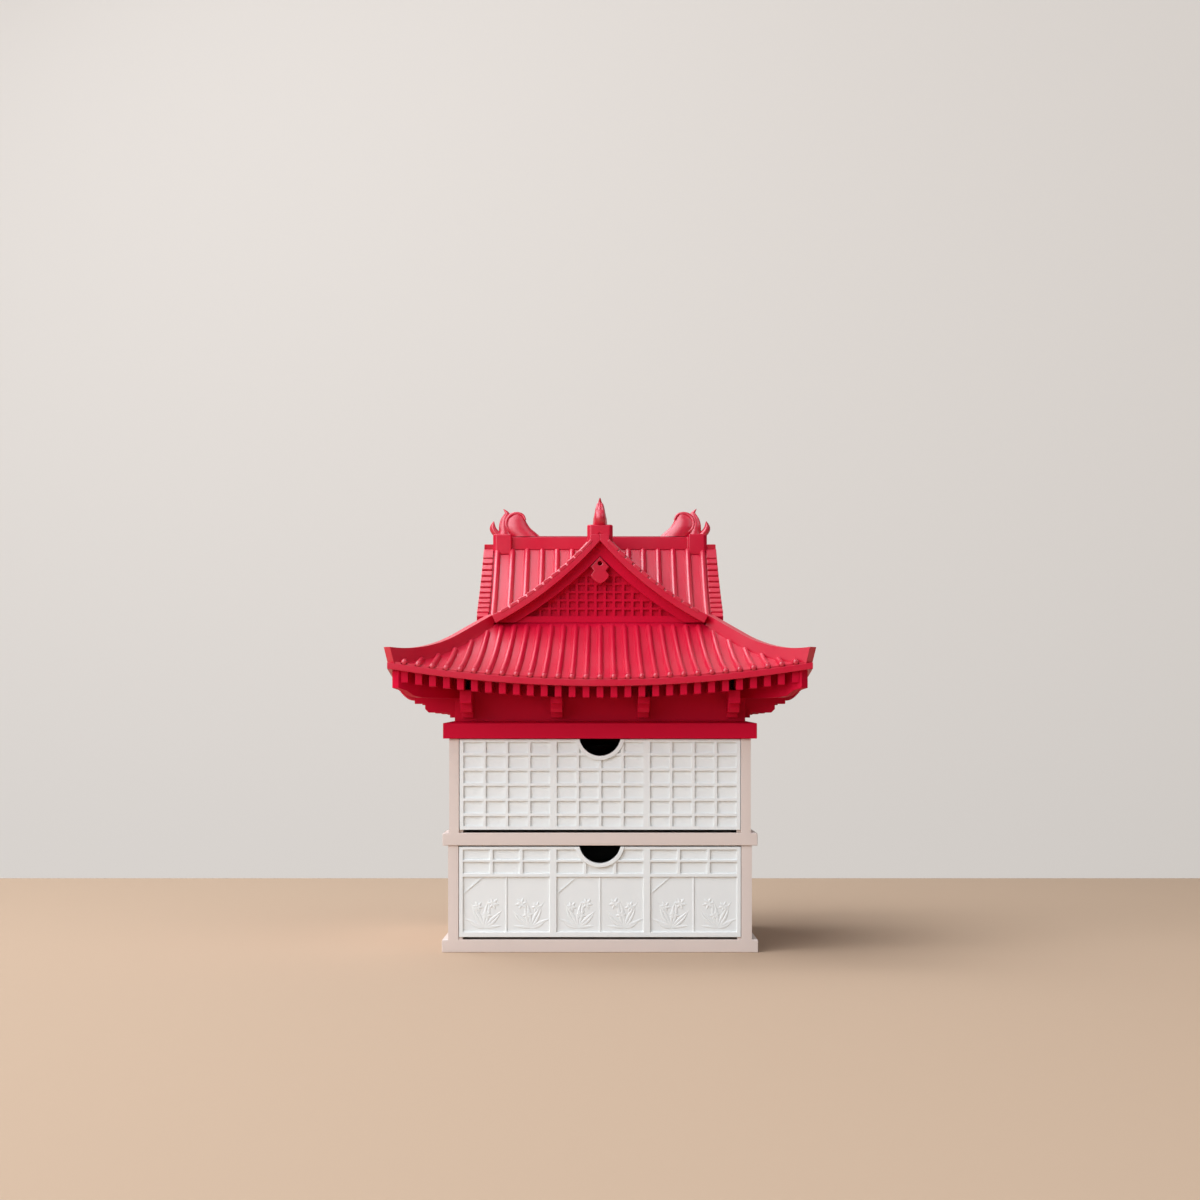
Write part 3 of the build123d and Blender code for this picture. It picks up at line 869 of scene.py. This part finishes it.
def skirt_roll(index, tiles):
    """One roll of tiles, from its disc at the eave to its rounded top end or the hip ridge."""
    profile = round_profile(tiles.roll_width, tiles.roll_height)
    rings = []
    stations = [(BED_OUTER - (BED_OUTER - ROLL_TOP) * k / 12, 1.0) for k in range(13)]
    stations += [(ROLL_TOP - past, scale) for past, scale in ROLL_ROUNDING]
    outward = abs(index) / ROLLS_EACH_WAY
    for distance, scale in stations:
        close = ROLL_FAN * (BED_OUTER - distance) / (BED_OUTER - BED_INNER)
        x = index * ROLL_PITCH * (1 - close * (1 - ROLL_FAN_LOSS * outward**3))
        if abs(x) > distance - CORNER_INSET + HIP_OVERLAP:
            break
        z = bed_height(distance) + bed_lift(x, distance)
        rings.append([(x + u * scale, -distance, z + w * scale) for u, w in profile])
    return sweep(rings) if len(rings) > 1 else None


def roll_disc(index, tiles):
    """The round cap on a roll's eave end."""
    x = index * ROLL_PITCH
    z = BED_EAVE_Z + bed_lift(x, BED_OUTER) + DISC_RAISE
    sides = 14
    rings = []
    for past, scale in DISC_SECTIONS:
        radius, y = tiles.disc_radius * scale, -(BED_OUTER + past)
        angles = [2 * math.pi * k / sides for k in range(sides)]
        rings.append([(x + radius * math.cos(a), y, z + radius * math.sin(a)) for a in angles])
    return sweep(rings)


class CHEST_OT_skirt(bpy.types.Operator):
    """Lay the skirt roof: the hollow bed with its rolls of tiles and their end discs"""

    bl_idname = "chest.skirt"
    bl_label = "Skirt Roof"

    def execute(self, context):
        tiles = context.scene.chest_tiles
        plastic = roof_plastic(context.scene, "polished")
        rolls = []
        for i in range(-ROLLS_EACH_WAY, ROLLS_EACH_WAY + 1):
            roll = skirt_roll(i, tiles)
            if roll:
                rolls.append(roll)
            rolls.append(roll_disc(i, tiles))
        add_round("skirt_bed", skirt_bed(), plastic, "skirt_tiles", crease=50)
        add_round("skirt_rolls", joined(rolls), plastic, "skirt_tiles", crease=50)
        return {"FINISHED"}


# ---------------------------------------------------------------- operators: upper roof


def wing_slope(hand):
    """One slope of a wing's tile bed, from the valley to the verge."""
    rings = []
    steps = 14
    for k in range(steps + 1):
        x = RAKE[2][0] * k / steps
        top, low = rake_height(x, TILE_DROP), rake_height(x, TILE_DROP + TILE_THICK)
        end = max(x, VERGE_BACK - WING_END_GAP)
        rings.append([(hand * x, -y, z) for y, z in ((x, top), (end, top), (end, low), (x, low))])
    return sweep(rings)


def wing_roll(hand, index, tiles):
    """One roll of the upper roof, rounded under the ridge cap and running to the foot or valley."""
    profile = round_profile(tiles.wing_roll_width, tiles.wing_roll_height)
    y = WING_ROLL_FIRST + index * WING_ROLL_PITCH
    start = RIDGE_HALF - WING_ROLL_HEAD
    end = min(RAKE[2][0], y - WING_ROLL_SHORT)
    stations = [(start + past, scale) for past, scale in WING_ROLL_ROUNDING]
    full = stations[-1][0]
    stations += [(full + (end - full) * k / 12, 1.0) for k in range(1, 13)]
    rings = []
    for x, scale in stations:
        ring = []
        for u, w in profile:
            px, pz = arc_point(RAKE, x, w * scale)
            ring.append((hand * px, -(y + u * scale), pz - TILE_DROP))
        rings.append(ring)
    return sweep(rings)


class CHEST_OT_wings(bpy.types.Operator):
    """Lay the four wings of the upper roof: curved slopes with rolls of tiles"""

    bl_idname = "chest.wings"
    bl_label = "Upper Roof"

    def execute(self, context):
        tiles = context.scene.chest_tiles
        plastic = roof_plastic(context.scene, "polished")
        slopes = joined([wing_slope(hand) for hand in (-1, 1)])
        rolls = joined([wing_roll(hand, i, tiles) for hand in (-1, 1) for i in range(WING_ROLLS)])
        add_round("wing_bed", slopes, plastic, "wing_tiles", crease=50)
        add_round("wing_rolls", rolls, plastic, "wing_tiles", crease=50)
        return {"FINISHED"}


def board_strip(hand, top, bottom, back, proud):
    """A strip of the leaning bargeboard between two lines of X and Z points."""
    rings = []
    for (x, z), (u, w) in zip(top, bottom):
        head, foot = verge_face(z) + proud, verge_face(w) + proud
        corners = ((x, back, z), (x, head, z), (u, foot, w), (u, back, w))
        rings.append([(hand * across, -out, up) for across, out, up in corners])
    return sweep(rings)


def bargeboard(hand):
    """Half of the curved board under the verge tiles, deeper at its head than at its foot."""
    xs = [VERGE_HEAD_HALF + (VERGE_END - VERGE_HEAD_HALF) * k / 16 for k in range(17)]
    top = [(0.0, VERGE_FLAT), (VERGE_HEAD_HALF, VERGE_FLAT)]
    bottom = [VERGE_FOOT[0], arc_point(VERGE_FOOT, VERGE_HEAD_HALF)]
    for x in xs:
        above = -VERGE_SEAT if x < VERGE_TILES_TO else VERGE_BARE_TOP
        top.append(arc_point(RAKE, x + 0.01, above))
        foot = arc_point(VERGE_FOOT, x - VERGE_END_CUT * (x / VERGE_END) ** 8)
        bottom.append((foot[0], max(foot[1], BED_TOP_Z - VERGE_FOOT_SINK)))
    return board_strip(hand, top, bottom, VERGE_BACK, 0.0)


def verge_tiles(hand, tiles):
    """The row of small tiles on the rake: each swells a little and ends in a narrow groove."""
    x = VERGE_TILES_FROM
    span = (VERGE_HEAD_HALF, 9.0, x - VERGE_GROOVE)
    spans = [(span, [arc_point(RAKE, u, VERGE_BARE_TOP) for u in span])]
    while x < VERGE_TILES_TO:
        run = tiles.verge_pitch * math.sin(rake_slope(x))
        span, top = [], []
        for along, rise in VERGE_TILE_SECTIONS:
            span.append(min(x + run * along, VERGE_TILES_TO))
            top.append(arc_point(RAKE, span[-1], tiles.verge_rise * rise - VERGE_TILE_SINK))
        spans.append((span, top))
        x += run
    shapes = []
    for span, top in spans:
        low = [arc_point(RAKE, u, -VERGE_SEAT - VERGE_TILE_FOOT) for u in span]
        back = VERGE_BACK - VERGE_TILE_BEHIND
        shapes.append(board_strip(hand, top, low, back, VERGE_TILE_PROUD))
    return joined(shapes)


def pendant_outlines():
    """The pendant's drop with two lobes and a heart foot, and its round hole."""
    outline = list(PENDANT_HALF) + [(-x, z) for x, z in PENDANT_HALF[-2:0:-1]]
    radius, sides = PENDANT_HOLE_RADIUS, 16
    angles = [-2 * math.pi * k / sides for k in range(sides)]
    hole = [(radius * math.cos(a), PENDANT_HOLE_Z + radius * math.sin(a)) for a in angles]
    return outline, hole


def plate_with_hole(outlines, near, far, edge):
    """A flat plate from closed outlines in X and Z, filled between them, with soft edges."""
    curve = bpy.data.curves.new("plate", "CURVE")
    curve.dimensions = "2D"
    curve.fill_mode = "BOTH"
    curve.extrude = (far - near) / 2 - edge
    curve.bevel_depth = edge
    curve.bevel_resolution = 1
    curve.offset = -edge
    for outline in outlines:
        spline = curve.splines.new("POLY")
        spline.points.add(len(outline) - 1)
        for point, (x, z) in zip(spline.points, outline):
            point.co = (x, z, 0, 1)
        spline.use_cyclic_u = True
    holder = bpy.data.objects.new("plate", curve)
    bpy.context.scene.collection.objects.link(holder)
    mesh = bpy.data.meshes.new_from_object(holder)
    middle = (near + far) / 2
    points = [(v.co.x, -(middle + v.co.z), v.co.y) for v in mesh.vertices]
    faces = [tuple(p.vertices) for p in mesh.polygons]
    bpy.data.objects.remove(holder)
    bpy.data.curves.remove(curve)
    bpy.data.meshes.remove(mesh)
    return points, faces


class CHEST_OT_gables(bpy.types.Operator):
    """Finish the lattice panels and bargeboards, and hang the pendants and verge tiles"""

    bl_idname = "chest.gables"
    bl_label = "Gables"

    def execute(self, context):
        scene = context.scene
        plastic = roof_plastic(scene)
        panel_plastic = roof_plastic(scene, "matt")
        verge_plastic = roof_plastic(scene, "polished")
        edge = scene.chest_finish.roof_edge
        pendant = plate_with_hole(pendant_outlines(), PENDANT_BACK, PENDANT_FACE, PENDANT_EDGE)
        verge = joined([verge_tiles(hand, scene.chest_tiles) for hand in (-1, 1)])
        board = joined([bargeboard(hand) for hand in (-1, 1)])
        for side in SIDES:
            finish_node(f"gable_panel_{side}", panel_plastic, PANEL_EDGE)
        for piece in add_round("verge_board", board, plastic, "bargeboard"):
            soften(piece, edge)
        add_round("pendant", pendant, plastic, "gable_pendant")
        for piece in add_round("verge_tiles", verge, verge_plastic):
            soften(piece, VERGE_TILE_EDGE, segments=3)
        return {"FINISHED"}


# ---------------------------------------------------------------- operators: ridge


def finial_half(z):
    """Half of the finial's width at a height: a pointed arch when seen end on."""
    for (low, wide), (high, narrow) in zip(FINIAL_ARCH, FINIAL_ARCH[1:]):
        if z <= high:
            return wide + (narrow - wide) * max(z - low, 0) / (high - low)
    return FINIAL_ARCH[-1][1]


def fin(inner, outer, fullness, steps=6):
    """A curled fin between two lines of distance and height, oval across."""
    inner, outer = smooth_line(inner, steps), smooth_line(outer, steps)
    rings = []
    for a, b in zip(inner, outer):
        middle, half = (a + b) / 2, (b - a) / 2
        ring = []
        for j in range(20):
            angle = 2 * math.pi * j / 20
            spot = middle + half * math.cos(angle)
            across = finial_half(spot.y) * fullness * math.sin(angle)
            ring.append((across, -spot.x, spot.y))
        rings.append(ring)
    return sweep(rings)


def bead(line, side, radius, out):
    """A rounded lip that follows a line of distance and height on one flank of the finial."""
    path = smooth_line(line, 6)
    rings = []
    for k, spot in enumerate(path):
        t = k / (len(path) - 1)
        ahead = path[min(k + 1, len(path) - 1)] - path[max(k - 1, 0)]
        across = Vector((-ahead.y, ahead.x)).normalized()
        thick = radius * (0.3 + 0.7 * math.sin(math.pi * (0.12 + 0.76 * t)))
        ring = []
        for j in range(10):
            angle = 2 * math.pi * j / 10
            place = spot + across * (thick * math.cos(angle))
            reach = finial_half(spot.y) * out + thick * 0.8 * math.sin(angle)
            ring.append((side * reach, -place.x, place.y))
        rings.append(ring)
    return sweep(rings)


def finial():
    """A curled ridge finial: a round horn with a rolled lip, a crest behind it and a small fin."""
    horn = fin(
        [(41.2, 279.3), (45.0, 282.6), (48.5, 285.6), (51.2, 289.6), (52.2, 292.0), (54.6, 294.6)],
        [(63.0, 279.3), (66.4, 283.6), (67.4, 288.0), (66.0, 292.0), (63.0, 294.6), (60.0, 295.8)],
        0.92,
    )
    crest = fin(
        [(60.0, 279.3), (62.0, 284.0), (63.4, 289.0), (63.0, 293.6), (63.4, 296.4), (66.8, 298.8)],
        [(71.8, 279.3), (70.6, 283.0), (70.4, 287.6), (69.0, 292.4), (66.5, 295.6), (67.5, 299.0)],
        0.8,
    )
    tail = fin(
        [(66.0, 279.3), (68.6, 281.8), (71.0, 284.0), (72.6, 286.2), (73.6, 289.6)],
        [(73.6, 279.3), (75.8, 281.9), (76.9, 284.6), (76.4, 287.4), (74.2, 290.4)],
        0.7,
    )
    shapes = [horn, crest, tail]
    lip = [(52.1, 291.4), (54.0, 294.5), (57.8, 295.6), (61.8, 294.6)]
    lip += [(64.7, 291.4), (65.2, 287.0), (62.8, 283.4), (56.5, 280.2)]
    flame = ((65.2, 296.6), (67.6, 292.6), (69.0, 288.4), (68.6, 284.0), (66.0, 280.4))
    curl = ((74.2, 288.8), (75.0, 285.6), (73.8, 282.4), (71.0, 279.8))
    for side in (-1, 1):
        shapes.append(bead(lip, side, 1.3, 0.62))
        shapes.append(bead(flame, side, 1.0, 0.5))
        shapes.append(bead(curl, side, 0.8, 0.45))
    return joined(shapes)


class CHEST_OT_ridge(bpy.types.Operator):
    """Finish the crossing ridge and set the four curled finials on its ends"""

    bl_idname = "chest.ridge"
    bl_label = "Ridge"

    def execute(self, context):
        plastic = roof_plastic(context.scene)
        finish_node("ridge_cap", plastic, RIDGE_EDGE, segments=3)
        finial_plastic = roof_plastic(context.scene, "polished")
        add_round("finial", finial(), finial_plastic, "ridge_ornament", crease=60)
        return {"FINISHED"}


# ---------------------------------------------------------------- operators: stage


def sheet(name, corners, material):
    """One flat face of the stage."""
    mesh = bpy.data.meshes.new(name)
    mesh.from_pydata(corners, [], [tuple(range(len(corners)))])
    mesh.materials.append(material)
    ground = bpy.data.objects.new(name, mesh)
    bpy.context.scene.collection.objects.link(ground)


def lamp(name, place, target, size, power):
    """A large soft lamp that looks at a point."""
    light = bpy.data.lights.new(name, "AREA")
    light.shape = "RECTANGLE"
    light.size, light.size_y = size
    light.energy = power
    light.color = LAMP_COLOUR
    holder = bpy.data.objects.new(name, light)
    holder.location = place
    holder.rotation_euler = (Vector(target) - Vector(place)).to_track_quat("-Z", "Y").to_euler()
    bpy.context.scene.collection.objects.link(holder)


class CHEST_OT_stage(bpy.types.Operator):
    """Set the table top, the wall, the soft lamps and the camera"""

    bl_idname = "chest.stage"
    bl_label = "Stage"

    def execute(self, context):
        scene = context.scene
        stage = scene.chest_stage
        scene.view_settings.view_transform = "Standard"
        table = stage_paint("matt_painted_table", stage.table_colour, TABLE_SEEN)
        wall = stage_paint("matt_painted_wall", stage.wall_colour, WALL_SEEN)
        near, far, wide = TABLE_FRONT, TABLE_BACK, STAGE_HALF
        sheet("floor", [(-wide, near, 0), (wide, near, 0), (wide, far, 0), (-wide, far, 0)], table)
        y, (low, high) = BACKDROP_AT, BACKDROP_SPAN
        corners = [(-wide, y, low), (wide, y, low), (wide, y, high), (-wide, y, high)]
        sheet("backdrop", corners, wall)
        world = bpy.data.worlds.new("dim_room")
        world.use_nodes = True
        background = world.node_tree.nodes["Background"]
        background.inputs["Color"].default_value = (1.0, 1.0, 1.0, 1)
        background.inputs["Strength"].default_value = stage.room_light
        scene.world = world
        for name, place, target, size, power in LAMPS:
            lamp(name, place, target, size, getattr(stage, power))
        camera_data = bpy.data.cameras.new("photo_camera")
        camera_data.lens = stage.lens
        camera_data.sensor_width = 36
        camera_data.shift_y = stage.shift_up
        camera_data.clip_start = 0.05
        camera = bpy.data.objects.new("photo_camera", camera_data)
        camera.location = CAMERA_AT
        camera.rotation_euler = (math.radians(90), 0, 0)
        scene.collection.objects.link(camera)
        scene.camera = camera
        return {"FINISHED"}


# ---------------------------------------------------------------- panel and registration

STEPS = (
    CHEST_OT_storeys,
    CHEST_OT_drawers,
    CHEST_OT_leaf_relief,
    CHEST_OT_roof_base,
    CHEST_OT_eaves,
    CHEST_OT_skirt,
    CHEST_OT_wings,
    CHEST_OT_gables,
    CHEST_OT_ridge,
    CHEST_OT_stage,
)


class CHEST_PT_sidebar(bpy.types.Panel):
    """The chest's pieces, in the order in which they are made"""

    bl_idname = "CHEST_PT_sidebar"
    bl_label = "Drawer Chest"
    bl_space_type = "VIEW_3D"
    bl_region_type = "UI"
    bl_category = "Drawer Chest"

    def draw(self, context):
        column = self.layout.column()
        for step in STEPS:
            column.operator(step.bl_idname)


GROUPS = {
    "chest_finish": ChestFinish,
    "chest_tiles": ChestTiles,
    "chest_relief": ChestRelief,
    "chest_stage": ChestStage,
}


def register():
    for name, group in GROUPS.items():
        bpy.utils.register_class(group)
        setattr(bpy.types.Scene, name, PointerProperty(type=group))
    for step in STEPS:
        bpy.utils.register_class(step)
    bpy.utils.register_class(CHEST_PT_sidebar)


def unregister():
    bpy.utils.unregister_class(CHEST_PT_sidebar)
    for step in reversed(STEPS):
        bpy.utils.unregister_class(step)
    for name, group in GROUPS.items():
        delattr(bpy.types.Scene, name)
        bpy.utils.unregister_class(group)


def main():
    register()
    bpy.ops.chest.storeys()
    bpy.ops.chest.drawers()
    bpy.ops.chest.leaf_relief()
    bpy.ops.chest.roof_base()
    bpy.ops.chest.eaves()
    bpy.ops.chest.skirt()
    bpy.ops.chest.wings()
    bpy.ops.chest.gables()
    bpy.ops.chest.ridge()
    bpy.ops.chest.stage()


if __name__ == "__main__":
    main()
